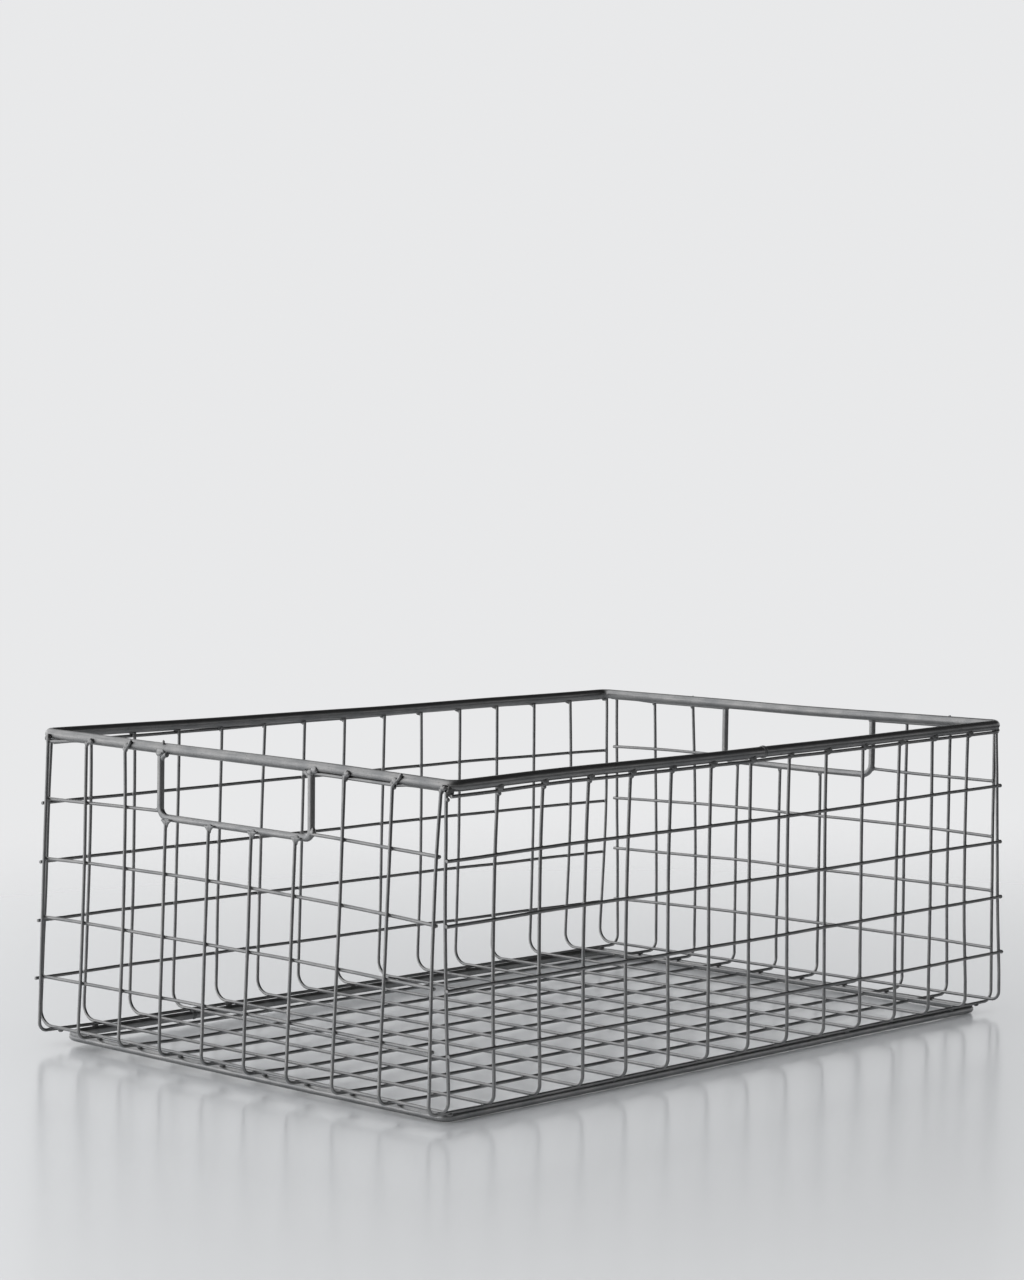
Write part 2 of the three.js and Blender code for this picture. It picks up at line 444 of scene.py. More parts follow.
def u_wire(out, centre, foot, slant, floor_z, top_z, bends, hook=0.0):
    """A U of wire in the plane of out and up, from one top end to the other."""
    axis = out.cross(UP)
    top_u = foot - math.tan(slant) * (top_z - floor_z - BEND_R)

    def place(u, z):
        return centre + out * u + UP * z

    def knee(radius):
        """Where the middle of a bend lies, and how far the upright above it reaches."""
        z = floor_z + radius * (1 + math.sin(slant))
        u = foot - math.tan(slant) * (z - floor_z - BEND_R)
        return u - radius * math.cos(slant), (top_z - z) / math.cos(slant)

    (first_u, first_rise), (last_u, last_rise) = (knee(radius) for radius in bends)
    if hook:
        tip = place(-rim_x - HOOK_R * math.cos(hook), rim_z + HOOK_R * math.sin(hook))
        rod = Rod(WIRE_R, WIRE_SIDES, tip, -out * math.sin(hook) - UP * math.cos(hook))
        rod.bend(place(-rim_x, rim_z), axis, hook - slant, HOOK_STEPS)
    else:
        down = -out * math.sin(slant) - UP * math.cos(slant)
        rod = Rod(WIRE_R, WIRE_SIDES, place(-top_u, top_z), down)
    rod.draw(HOOK_SHANK, WIRE_R).draw(first_rise - HOOK_SHANK)
    rod.bend(place(-first_u, floor_z + bends[0]), axis, math.pi / 2 + slant)
    rod.draw(first_u + last_u)
    rod.bend(place(last_u, floor_z + bends[1]), axis, math.pi / 2 + slant)
    rod.draw(last_rise - HOOK_SHANK).draw(HOOK_SHANK, WIRE_R)
    if hook:
        rod.bend(place(rim_x, rim_z), axis, hook - slant, HOOK_STEPS)
    return rod.chamfer_ends()


# %% [markdown]
# The wires along the length lie under the floor, turn up outside the end walls, and at the top are
# welded to the outer face of the rim. The four in the middle meet the hand hold instead, and stop
# below its bar. No two tops are alike, as each was welded by hand: on the left some step sideways
# just below the rim, and at each end two are bent furthest over it.

# %% Wires along the length
HOOK_ANGLES = [8, 14, 40, 0, 0, 0, 0, 12, 48, 10]
HOOK_JOGS = [0, 3.4, 3.4, 0, 0, 0, 0, 1.8, 4.6, 1.4]
JOG_FROM = 152 * MM
JOG_TO = 157.5 * MM
ALONG_BENDS = (4.6 * MM, 6.0 * MM)
BELOW_BAR = 0.5 * MM
handle_low, handle_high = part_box("handle_left")
handle_half = handle_high.y - HANDLE_R
handle_z = handle_low.z + HANDLE_R


def along_shift(at, number):
    offset = sway(at) + end_rise(at) + rim_twist(at) + wander(at, 1, number + 1)
    across = held(0.5 + 0.5 * at.x / last_x)
    offset.y += lean(at, "left", "right", number, across)
    if at.x < 0:
        offset.y -= HOOK_JOGS[number] * MM * ease(at.z, JOG_FROM, JOG_TO)
    return offset


along_y = {}
for number, node in enumerate(node_names("wire_along_")):
    along_y[number] = middle(node).y
    hook = math.radians(HOOK_ANGLES[number])
    top_z = rim_z + HOOK_R * math.sin(end_lean) if hook else handle_z - BELOW_BAR
    rod = u_wire(Vector((1, 0, 0)), Vector((0, along_y[number], 0)), end_foot, end_lean,
                 along_z, top_z, ALONG_BENDS, hook)
    rod.settle(lambda at: along_shift(at, number))
    make_piece("iron_" + node, rod.bm, "mesh_wire", node)
print(len(along_y), "wires along the length")

# %% [markdown]
# The wires across the width are the same U, turned a quarter and narrower. They lie on top of the
# others in the floor, turn up inside the long walls and end under the rim. The rim's corners are
# round, so the first and the last wire are tucked in towards the corner at the top.

# %% Wires across the width
UNDER_RIM = 0.3 * MM
CORNER_TUCK = 0.5 * MM
TUCK_FROM = 126 * MM
TUCK_TO = 152 * MM
CORNER_WIRES = (0, 14)
ACROSS_SEED = 21
ACROSS_BENDS = (4.8 * MM, 8.0 * MM)


def across_shift(at, number):
    offset = sway(at) + end_rise(at) + rim_twist(at) + wander(at, 0, number + ACROSS_SEED)
    across = held(0.5 + 0.5 * at.y / side_foot)
    offset.x += lean(at, "near", "far", number, across)
    if number in CORNER_WIRES:
        offset.y -= math.copysign(CORNER_TUCK, at.y) * ease(at.z, TUCK_FROM, TUCK_TO)
    return offset


across_x = {}
for number, node in enumerate(node_names("wire_across_")):
    across_x[number] = middle(node).x
    rod = u_wire(Vector((0, 1, 0)), Vector((across_x[number], 0, 0)), side_foot, side_lean,
                 across_z, rim_low.z + UNDER_RIM, ACROSS_BENDS)
    rod.settle(lambda at: across_shift(at, number))
    make_piece("iron_" + node, rod.bm, "mesh_wire", node)
print(len(across_x), "wires across the width")

# %% [markdown]
# The level wires are straight lengths. A row wire bows as its reading says. The top wires of the
# end walls follow the rim instead: they touch it from below, and past the last but one upright
# they slip in behind it. One does so the other way round.

# %% A level wire
SLIP_FROM = 106 * MM
SLIP_RUN = 8 * MM
SLIP_IN = 1.7 * MM
SLIP_UP = 0.7 * MM
BACKWARD_SLIP = "left_end_top_wire_far"
BACKWARD_SHARES = (1.4, -0.5)
BACKWARD_FROM = 114 * MM
BACKWARD_TO = 134 * MM
LEVEL_SEED = 40
level_line = {}
level_seed = {}


def level_shift(at, node):
    offset = sway(at)
    if node in ROW_BOWS:
        start, stop = level_line[node]
        share = (at - start).length / (stop - start).length
        bow = Vector((0, 0, through(ROW_BOWS[node], share)))
        offset += wander(at, 2, level_seed[node]) + bow
    elif "_end_" in node:
        offset += rim_twist(at)
        slip = ease(abs(at.y), SLIP_FROM, SLIP_FROM + SLIP_RUN)
        if node == BACKWARD_SLIP:
            first, last = BACKWARD_SHARES
            slip = first + (last - first) * ease(at.y, BACKWARD_FROM, BACKWARD_TO)
        offset += Vector((math.copysign(SLIP_IN, -at.x), 0, SLIP_UP)) * slip
    return offset


def level_wire(node, start, stop):
    level_seed[node] = LEVEL_SEED + len(level_seed)
    level_line[node] = (start, stop)
    run = stop - start
    rod = Rod(WIRE_R, WIRE_SIDES, start, run).draw(run.length).chamfer_ends()
    rod.settle(lambda at: level_shift(at, node))
    make_piece("iron_" + node, rod.bm, "mesh_wire", node)


# %% [markdown]
# Each level wire is cut a little past the last upright, at some corners more and at others less;
# only the top wires of the long walls stop short of it. On the long walls they lie outside the
# uprights, on the end walls inside. The ones beside a hand hold start at its frame, whose lower
# corners are round, so the frame is further in there.

# %% Level wires
STUBS = {
    "near_side": (1.0, 0.4), "far_side": (3.1, 1.4),
    "left_end": (0.6, 1.6), "right_end": (1.2, 1.2),
}
TOP_STUBS = {"near_side": (-0.8, -2.0), "far_side": (-3.0, -3.0)}
HANDLE_SHIFT = {"left": 0.0, "right": -2.5 * MM}
HANDLE_CORNERS = {"left": (3.6 * MM, 5.0 * MM), "right": (6.5 * MM, 5.0 * MM)}
LONG_WALLS = (("near", -1), ("far", 1))
END_WALLS = (("left", -1), ("right", 1))


def handle_at(wall, way, z):
    """Where the middle of a hand hold's rod is at this height, on its near (-1) or far (1) side."""
    corner = HANDLE_CORNERS[wall][0 if way < 0 else 1]
    below = max(handle_z + corner - z, 0.0)
    inward = corner - math.sqrt(corner ** 2 - below ** 2)
    return HANDLE_SHIFT[wall] + way * (handle_half - inward)


for wall, side in LONG_WALLS:
    for node in node_names(wall + "_side_"):
        z = middle(node).z
        y = side * (side_line(z) + WIRE_STEP)
        stubs = (TOP_STUBS if "top_wire" in node else STUBS)[wall + "_side"]
        low_x = -last_x - stubs[0] * MM + upright_lean(wall, CORNER_WIRES[0], z)
        high_x = last_x + stubs[1] * MM + upright_lean(wall, CORNER_WIRES[1], z)
        level_wire(node, Vector((low_x, y, z)), Vector((high_x, y, z)))

for wall, side in END_WALLS:
    low_stub, high_stub = STUBS[wall + "_end"]
    for node in node_names(wall + "_end_"):
        z = middle(node).z
        low_y = -last_y - low_stub * MM + upright_lean(wall, len(along_y) - 1, z)
        high_y = last_y + high_stub * MM + upright_lean(wall, 0, z)
        if node.endswith("_near"):
            high_y = handle_at(wall, -1, z)
        if node.endswith("_far"):
            low_y = handle_at(wall, 1, z)
        x = end_line(z) - WIRE_STEP
        if "top_wire" in node:
            z = rim_z - math.sqrt(HOOK_R ** 2 - (x - rim_x) ** 2)
        level_wire(node, Vector((side * x, low_y, z)), Vector((side * x, high_y, z)))
print(len(level_line), "level wires")

# %% [markdown]
# The rim and the base ring are each one thick rod, bent at four corners until its ends meet, where
# one butt weld closes it. So the rod starts at that weld, goes round, and its two open ends are
# bridged. The base ring's far left corner was bent wider than the others.

# %% Rim and base ring
RIM_WELD_X = 10 * MM
BASE_WELD_X = -120 * MM
WELD_GAP = 0.4 * MM
BASE_CORNERS = [11.0 * MM, 5.0 * MM, 5.0 * MM, 5.0 * MM]


def ring_rod(radius, half_x, half_y, corners, z, weld_x, side):
    """A level rectangle of rod that starts and ends at weld_x, on the side at side * half_y."""
    ahead = Vector((-side, 0, 0))
    rod = Rod(radius, ROD_SIDES, Vector((weld_x, side * half_y, z)), ahead)
    rod.draw(half_x - corners[0] + side * weld_x)
    for turn, corner in enumerate(corners):
        aside = UP.cross(rod.heading)
        centre = rod.end.calc_center_median() + aside * corner
        rod.bend(centre, UP, math.pi / 2)
        if turn < 3:
            rod.draw(2 * (half_y if turn % 2 == 0 else half_x) - corner - corners[turn + 1])
    rod.draw(half_x - corners[3] - side * weld_x - WELD_GAP)
    return rod.close_ring().settle(sway, rim_twist)


rim_rod = ring_rod(RIM_R, rim_x, rim_y, [RIM_CORNER_R] * 4, rim_z, RIM_WELD_X, -1)
make_piece("iron_top_rim", rim_rod.bm, "rim_rod", "top_rim")
base_rod = ring_rod(BASE_R, base_x, base_y, BASE_CORNERS, BASE_R, BASE_WELD_X, 1)
make_piece("iron_base_ring", base_rod.bm, "base_rod", "base_ring")
print("rim is", round(rim_rod.length, 3), "m of rod, base ring", round(base_rod.length, 3), "m")

# %% [markdown]
# Each hand hold is a U of thinner rod that hangs from the rim, just inside the end uprights. Its
# two ends run up against the underside of the rim, where the weld is. The two lower corners were
# bent by hand over different edges, so one is tighter than the other.

# %% Hand holds
INTO_RIM = 1.2 * MM
HANDLE_SIDES = 18
HANDLE_DROP = {"left": -0.1 * MM, "right": -0.6 * MM}
HANDLE_TILT = {"left": 0.5 * MM, "right": 0.0}
handle_x = end_line(handle_z) - WIRE_R - HANDLE_R + PRESS


def handle_shift(at):
    wall = "left" if at.x < 0 else "right"
    drop = HANDLE_DROP[wall] + HANDLE_TILT[wall] * at.y / handle_half
    return sway(at) + rim_twist(at) + UP * drop * (1 - ease(at.z, TWIST_FROM, TWIST_TO))


def hand_hold(wall, side):
    x = side * handle_x
    near_r, far_r = HANDLE_CORNERS[wall]
    near_y = HANDLE_SHIFT[wall] - handle_half
    far_y = HANDLE_SHIFT[wall] + handle_half
    top = rim_low.z + INTO_RIM
    axis = Vector((1, 0, 0))
    rod = Rod(HANDLE_R, HANDLE_SIDES, Vector((x, near_y, top)), -UP)
    rod.draw(top - handle_z - near_r)
    rod.bend(Vector((x, near_y + near_r, handle_z + near_r)), axis, math.pi / 2)
    rod.draw(far_y - near_y - near_r - far_r)
    rod.bend(Vector((x, far_y - far_r, handle_z + far_r)), axis, math.pi / 2)
    return rod.draw(top - handle_z - far_r).chamfer_ends().settle(handle_shift)


for wall, side in END_WALLS:
    make_piece("iron_handle_" + wall, hand_hold(wall, side).bm, "handle_rod", "handle_" + wall)
print("hand hold", round(2 * handle_half / MM), "mm wide")

# %% [markdown]
# At every crossing the two wires are fused in a small nugget. There are almost four hundred, so
# each is a ball of forty faces, pressed flat and set between its two wires. It follows the same
# wanders as they do. The places are kept, because the heat of a weld also marks the iron around
# it.

# %% Nuggets at the crossings
NUGGET = Vector((1.12, 1.12, 1.05)) * MM
weld_places = []


def nugget(bm, at, normal):
    weld_places.append(at)
    facing = Vector(normal).to_track_quat("Z", "Y")
    bmesh.ops.create_uvsphere(
        bm, u_segments=8, v_segments=5, radius=1.0, matrix=Matrix.LocRotScale(at, facing, NUGGET))


def both(at, first, second):
    """Where two wires meet: both shifts, with the drift they share counted once."""
    return at + first + second - sway(at) - end_rise(at)


floor_bm = bmesh.new()
for i, y in along_y.items():
    for j, x in across_x.items():
        at = Vector((x, y, (along_z + across_z) / 2))
        nugget(floor_bm, both(at, along_shift(at, i), across_shift(at, j)), UP)
make_piece("floor_weld_nuggets", floor_bm, "mesh_wire")

for wall, side in LONG_WALLS:
    wall_bm = bmesh.new()
    for node in node_names(wall + "_side"):
        start, stop = level_line[node]
        for j, x in across_x.items():
            at = Vector((x, start.y - side * WIRE_STEP / 2, start.z))
            meet = both(at, across_shift(at, j), level_shift(at, node))
            nugget(wall_bm, meet, (0, side, 0))
        if "_row_" in node and wall == "near":
            nugget(wall_bm, stop + level_shift(stop, node), (1, 0, 0))
    make_piece(wall + "_side_weld_nuggets", wall_bm, "mesh_wire")

for wall, side in END_WALLS:
    wall_bm = bmesh.new()
    for node in node_names(wall + "_end"):
        start, stop = level_line[node]
        for i, y in along_y.items():
            if start.y < y < stop.y and (abs(y) < SLIP_FROM or "_row_" in node):
                at = Vector((start.x + side * WIRE_STEP / 2, y, start.z))
                meet = both(at, along_shift(at, i), level_shift(at, node))
                nugget(wall_bm, meet, (side, 0, 0))
    make_piece(wall + "_end_weld_nuggets", wall_bm, "mesh_wire")
print(len(weld_places), "crossings welded")

# %% [markdown]
# The beads that hold the wires to the thick rods are bigger and rougher: a lump of molten iron
# laid on by hand. Each starts as a ball, is stretched along its joint and is made lumpy with
# noise. A bead's size is given in millimetres, from its middle to its skin along x, y and z.

# %% A weld bead
LUMPS = 650.0
LUMP_DEPTH = 0.22


def bead(bm, at, size):
    weld_places.append(at)
    ball = bmesh.ops.create_icosphere(
        bm, subdivisions=2, radius=1.0, matrix=Matrix.LocRotScale(at, None, Vector(size) * MM))
    for vert in ball["verts"]:
        vert.co += (vert.co - at) * noise.noise(vert.co * LUMPS) * LUMP_DEPTH


# %% [markdown]
# On the long walls a bead is a small tab on the lower half of the rim, no two quite as wide. The
# first and the last would miss the rim's round corner, so they are moved onto its outer face.

# %% Weld beads along the long walls
SIDE_BEADS = {"near": Vector((2.4, 1.9, 2.5)), "far": Vector((1.6, 1.7, 1.6))}
SIDE_BEAD_LEFT = 0.6 * MM
SIDE_BEAD_OUT = 0.9 * MM
SIDE_BEAD_DOWN = 2.5 * MM
SIDE_BEAD_VARIES = 0.25
CORNER_BEAD_OUT = 1.7 * MM


def onto_corner(at):
    """Move a bead that is past the rim's round corner onto its outer face."""
    corner = Vector((math.copysign(rim_x - RIM_CORNER_R, at.x),
                     math.copysign(rim_y - RIM_CORNER_R, at.y)))
    out = (at.xy - corner).normalized() * (RIM_CORNER_R + CORNER_BEAD_OUT)
    return Vector((*(corner + out), at.z))


for wall, side in LONG_WALLS:
    bm = bmesh.new()
    for j, x in across_x.items():
        at = Vector((x - SIDE_BEAD_LEFT, side * (rim_y + SIDE_BEAD_OUT), rim_z - SIDE_BEAD_DOWN))
        at += across_shift(at, j)
        wide = 1 + SIDE_BEAD_VARIES * noise.noise(Vector((1.7 * j, 5.3 * side, 0.4)))
        if j in CORNER_WIRES:
            bead(bm, onto_corner(at), SIDE_BEADS[wall])
        else:
            bead(bm, at, SIDE_BEADS[wall] * wide)
    make_piece(wall + "_rim_beads", bm, "rim_rod")
print(2 * len(across_x), "beads along the long walls")

# %% [markdown]
# On the end walls each hooked wire gets two beads: one that caps it on the outer face of the rim
# and a smaller one below, which stays where the wire was before it steps sideways. The wire at the
# far corner has only the small one.

# %% Weld beads along the end walls
CAP_BEAD = (1.25, 2.0, 1.7)
CAP_DOWN = 0.8 * MM
LOW_BEAD = (1.1, 1.3, 1.6)
LOW_DOWN = 2.3 * MM
LOW_BACK = 0.8
HOOK_BEAD_OUT = 0.5 * MM
TIP_SHOWS = 30
TIP_BACK = 0.5

for wall, side in END_WALLS:
    bm = bmesh.new()
    for i, y in along_y.items():
        if HOOK_ANGLES[i]:
            at = Vector((side * (rim_x + RIM_R + HOOK_BEAD_OUT), y, rim_z))
            at += along_shift(at, i)
            back = HOOK_JOGS[i] * MM if side < 0 else 0.0
            tip = TIP_BACK * back if HOOK_ANGLES[i] > TIP_SHOWS else 0.0
            if i:
                bead(bm, at + Vector((0, tip, -CAP_DOWN)), CAP_BEAD)
            bead(bm, at + Vector((0, LOW_BACK * back, -LOW_DOWN)), LOW_BEAD)
    make_piece(wall + "_rim_beads", bm, "rim_rod")
print(len(weld_places), "welds so far")

# %% [markdown]
# Under the hand hold's bar each wire spreads like a small trumpet, and the frame's tops on the
# left are run into the rim with a rounded inner corner. The trumpet is a disc that is extruded
# ring by ring and widened on the way. The rounded corner is a disc spun a quarter turn.

# %% Trumpets and rounded corners
COVE_R = 4.2 * MM
COVE_ROD = 1.3 * MM
TRUMPET = [(3.2, 0.9), (2.0, 1.3), (1.0, 2.2), (0.2, 3.4), (-0.4, 3.6)]


def trumpet(bm, top):
    """A flare of weld round a wire's upper end, row by row: how far below it, and how wide."""
    thin_below, thin = TRUMPET[0]
    disc = bmesh.ops.create_circle(
        bm, cap_ends=True, segments=12, radius=thin * MM,
        matrix=Matrix.Translation(top - UP * thin_below * MM))["verts"][0].link_faces[0]
    for below, wide in TRUMPET[1:]:
        grown = bmesh.ops.extrude_face_region(bm, geom=[disc, *disc.edges, *disc.verts])["geom"]
        disc = next(item for item in grown if isinstance(item, bmesh.types.BMFace))
        for vert in disc.verts:
            vert.co.y = top.y + (vert.co.y - top.y) * wide / thin
            vert.co.z = top.z - below * MM
        thin = wide


def cove(bm, at, way):
    """A rounded inner corner between a hand hold's upright and the underside of the rim."""
    start = at - UP * COVE_R
    hoop = bmesh.ops.create_circle(
        bm, cap_ends=True, segments=10, radius=COVE_ROD, matrix=Matrix.Translation(start))["verts"]
    disc = hoop[0].link_faces[0]
    bmesh.ops.spin(
        bm, geom=[disc, *disc.edges, *disc.verts], cent=start - Vector((0, way * COVE_R, 0)),
        axis=(1, 0, 0), angle=way * math.pi / 2, steps=6, use_merge=False, use_duplicate=False)


# %% [markdown]
# A hand hold's welds: a bead and a trumpet where each wire meets the bar, a bead under the rim and
# one on its outer face at each top, and a lump that holds each cut row wire to the frame. A drip
# stands up from the rim at the left one. Sizes that differ are given for the near and the far
# side.

# %% Weld beads at the hand holds
BAR_BEAD = (1.2, 2.3, 1.3)
BAR_BEAD_OUT = 1.5 * MM
BAR_BEAD_DOWN = 0.8 * MM
TRUMPET_OUT = 0.8 * MM
COVE_IN = 0.2 * MM
TOP_BEAD = (2.2, 2.4, 1.8)
TOP_BEAD_UP = 0.2 * MM
FACE_BEADS = {-1: (1.5, 2.2, 2.0), 1: (1.1, 3.0, 1.7)}
FACE_BEAD_IN = 0.3 * MM
FACE_BEAD_BACK = {-1: 2.6 * MM, 1: 0.0}
FACE_BEAD_DOWN = {-1: 1.2 * MM, 1: 1.3 * MM}
ROW_BEADS = {-1: (1.4, 1.8, 2.3), 1: (1.4, 1.8, 1.3)}
ROW_BEAD_IN = 0.4
ROW_BEAD_ALONG = 1.9
ROW_BEAD_UP = {-1: 0.9, 1: 0.4}
DRIP = (0.8, 0.8, 1.6)
DRIP_OUT = 1.3 * MM
DRIP_BACK = 0.8 * MM
DRIP_UP = 2.8 * MM


def top_welds(bm, wall, side, way):
    """The welds at one top of a hand hold, and the one at the row wire beside it."""
    top_y = handle_at(wall, way, rim_low.z)
    at = Vector((side * handle_x, top_y, rim_low.z))
    at += handle_shift(at)
    if wall == "left":
        cove(bm, at - Vector((0, way * COVE_IN, 0)), way)
    bead(bm, at + Vector((0, 0, TOP_BEAD_UP)), TOP_BEAD)
    outer = side * (rim_x + RIM_R - FACE_BEAD_IN)
    at = Vector((outer, top_y - FACE_BEAD_BACK[way], rim_z - FACE_BEAD_DOWN[way]))
    bead(bm, at + handle_shift(at), FACE_BEADS[way])
    node = wall + "_end_row_4_" + ("near" if way < 0 else "far")
    row = level_line[node][0 if way > 0 else 1]
    at = row + Vector((-side * ROW_BEAD_IN, way * ROW_BEAD_ALONG, ROW_BEAD_UP[way])) * MM
    bead(bm, at + level_shift(at, node), ROW_BEADS[way])


for wall, side in END_WALLS:
    bm = bmesh.new()
    for i, y in along_y.items():
        if not HOOK_ANGLES[i]:
            at = Vector((side * (handle_x + BAR_BEAD_OUT), y, handle_z - BAR_BEAD_DOWN))
            at += along_shift(at, i)
            bead(bm, at, BAR_BEAD)
            trumpet(bm, at + Vector((side * TRUMPET_OUT, 0, 0)))
    for way in (-1, 1):
        top_welds(bm, wall, side, way)
    if wall == "left":
        drip_y = handle_at(wall, 1, rim_z) - DRIP_BACK
        at = Vector((-rim_x - DRIP_OUT, drip_y, rim_z + DRIP_UP))
        bead(bm, at + handle_shift(at), DRIP)
    make_piece(wall + "_handle_beads", bm, "handle_rod")
print(len(weld_places), "welds so far")

# %% [markdown]
# Below, the floor wires are tacked to the base ring: every wire on the two short runs, and every
# third one on the long runs. On the left, where the floor's edge is bent up, a bead is taller, so
# that it still reaches from the ring to the wire.

# %% Weld beads on the base ring
SHORT_RUN_BEAD = (1.5, 1.5, 0.9)
SHORT_RUN_OUT = 0.6 * MM
LONG_RUN_BEAD = (1.9, 1.2, 0.9)
LONG_RUN_OUT = 1.2 * MM
LONG_RUN_DOWN = 0.1 * MM

bm = bmesh.new()
for side in (-1, 1):
    for i, y in along_y.items():
        at = Vector((side * (base_x + SHORT_RUN_OUT), y, base_high.z))
        half_gap = end_rise(at) / 2
        taller = Vector((0, 0, half_gap.z / MM))
        bead(bm, at + along_shift(at, i) - half_gap, Vector(SHORT_RUN_BEAD) + taller)
    for j, x in across_x.items():
        if j % 3 == 1:
            at = Vector((x, side * (base_y + LONG_RUN_OUT), base_high.z - LONG_RUN_DOWN))
            bead(bm, at + sway(at), LONG_RUN_BEAD)
make_piece("base_beads", bm, "base_rod")
print(len(weld_places), "welds so far")

# %% [markdown]
# Where the two ends of the rim rod meet, the butt weld leaves a low collar round the rod. The base
# ring has one too, on its far side, ground flat below so that it doesn't lift the ring. A collar
# is a short rod whose skirts are pulled in.

# %% Butt weld collars
COLLAR_HALF = 1.3 * MM
COLLAR_RISE = 0.45 * MM
COLLAR_LUMPS = 0.5


def collar(name, radius, at, slot):
    rod = Rod(radius, ROD_SIDES, at - Vector((COLLAR_HALF, 0, 0)), (1, 0, 0))
    third = 2 * COLLAR_HALF / 3
    rod.draw(third).draw(third).draw(third)
    for vert in rod.bm.verts:
        from_axis = Vector((0, vert.co.y - at.y, vert.co.z - at.z))
        across = min(abs(vert.co.x - at.x) / COLLAR_HALF, 1.0)
        lumpy = 1 + COLLAR_LUMPS * noise.noise(vert.co * LUMPS)
        vert.co += from_axis.normalized() * COLLAR_RISE * (1 - across ** 4) * lumpy
        vert.co.z = max(vert.co.z, 0.0)
    weld_places.append(at + sway(at))
    make_piece(name, rod.settle(sway, rim_twist).bm, slot)


collar("rim_butt_weld", RIM_R, Vector((RIM_WELD_X, -rim_y, rim_z)), "rim_rod")
collar("base_butt_weld", BASE_R, Vector((BASE_WELD_X, base_y, BASE_R)), "base_rod")
print(len(weld_places), "welds in all")

# %% [markdown]
# Welding scorches the iron next to it. Every point of every piece gets a number called "heat": 1
# at a weld, falling to 0 a few millimetres away. A tree of the weld places finds the nearest one
# fast.

# %% Heat round the welds
HEAT_REACH = 4.5 * MM
tree = kdtree.KDTree(len(weld_places))
for index, at in enumerate(weld_places):
    tree.insert(at, index)
tree.balance()
for piece in made_pieces:
    heat = piece.data.attributes.new("heat", "FLOAT", "POINT")
    near = [tree.find(vert.co)[2] / HEAT_REACH for vert in piece.data.vertices]
    heat.data.foreach_set("value", [math.exp(-gap * gap) for gap in near])
faces = sum(len(piece.data.polygons) for piece in made_pieces)
print(faces, "faces in", len(made_pieces), "pieces")

# %% [markdown]
# Materials are node trees. To keep them readable, a Signal stands for one socket: adding or
# multiplying signals adds Math nodes, and any other node is made by the one method "node".

# %% Signals
class Signal:
    def __init__(self, tree, socket=None):
        self.tree = tree
        self.socket = socket

    def node(self, kind, settings=None, sockets=None, out=0):
        made = self.tree.nodes.new(kind)
        for key, value in (settings or {}).items():
            setattr(made, key, value)
        for key, value in (sockets or {}).items():
            if isinstance(value, Signal):
                self.tree.links.new(value.socket, made.inputs[key])
            else:
                made.inputs[key].default_value = value
        return Signal(self.tree, made.outputs[out]) if made.outputs else made

    def math(self, operation, left, right):
        return self.node("ShaderNodeMath", {"operation": operation}, {0: left, 1: right})

    def __add__(self, other):
        return self.math("ADD", self, other)

    def __sub__(self, other):
        return self.math("SUBTRACT", self, other)

    def __rsub__(self, other):
        return self.math("SUBTRACT", other, self)

    def __mul__(self, other):
        return self.math("MULTIPLY", self, other)

    __radd__ = __add__
    __rmul__ = __mul__

    def noise(self, scale, detail, roughness):
        return self.node("ShaderNodeTexNoise", None, {
            "Vector": self, "Scale": scale, "Detail": detail, "Roughness": roughness})

    def dot(self, direction):
        return self.node("ShaderNodeVectorMath", {"operation": "DOT_PRODUCT"},
                         {0: self, 1: direction}, "Value")

    def stretched(self, factors):
        return self.node("ShaderNodeVectorMath", {"operation": "MULTIPLY"}, {0: self, 1: factors})

    def mix_colour(self, first, second):
        return self.node("ShaderNodeMix", {"data_type": "RGBA"}, {0: self, 6: first, 7: second}, 2)

    def spread(self, low, high):
        """0 below low, 1 above high, smooth between."""
        return self.node("ShaderNodeMapRange", {"interpolation_type": "SMOOTHSTEP"},
                         {"Value": self, "From Min": low, "From Max": high})


def empty_tree(owner):
    """Switch an owner's nodes on, clear them, and give a Signal to start from."""
    owner.use_nodes = True
    owner.node_tree.nodes.clear()
    return Signal(owner.node_tree)


# %% [markdown]
# The iron is bare and dark with a satin sheen. Cloudy patches come from slow noise, the fine tooth
# from quick noise, and the drawing marks from noise that is stretched along the rod. Heat turns
# the iron darker and a little brown, and rougher. All of it is metal, so its light and dark sides
# come from what it reflects.

# %% Dark iron
ALONG_GRAIN = (2.6, 2.6, 45.0)
CLOUDS = (75.0, 4.0, 0.6)
TOOTH = (1500.0, 3.0, 0.65)
STREAKS = (1.6, 4.0, 0.6)
BUMP_STRENGTH = 0.28
TOOTH_DEPTH = 0.00012


def grey(level, warm=0.0):
    return (level * (1 + warm), level, level * (1 - warm), 1.0)


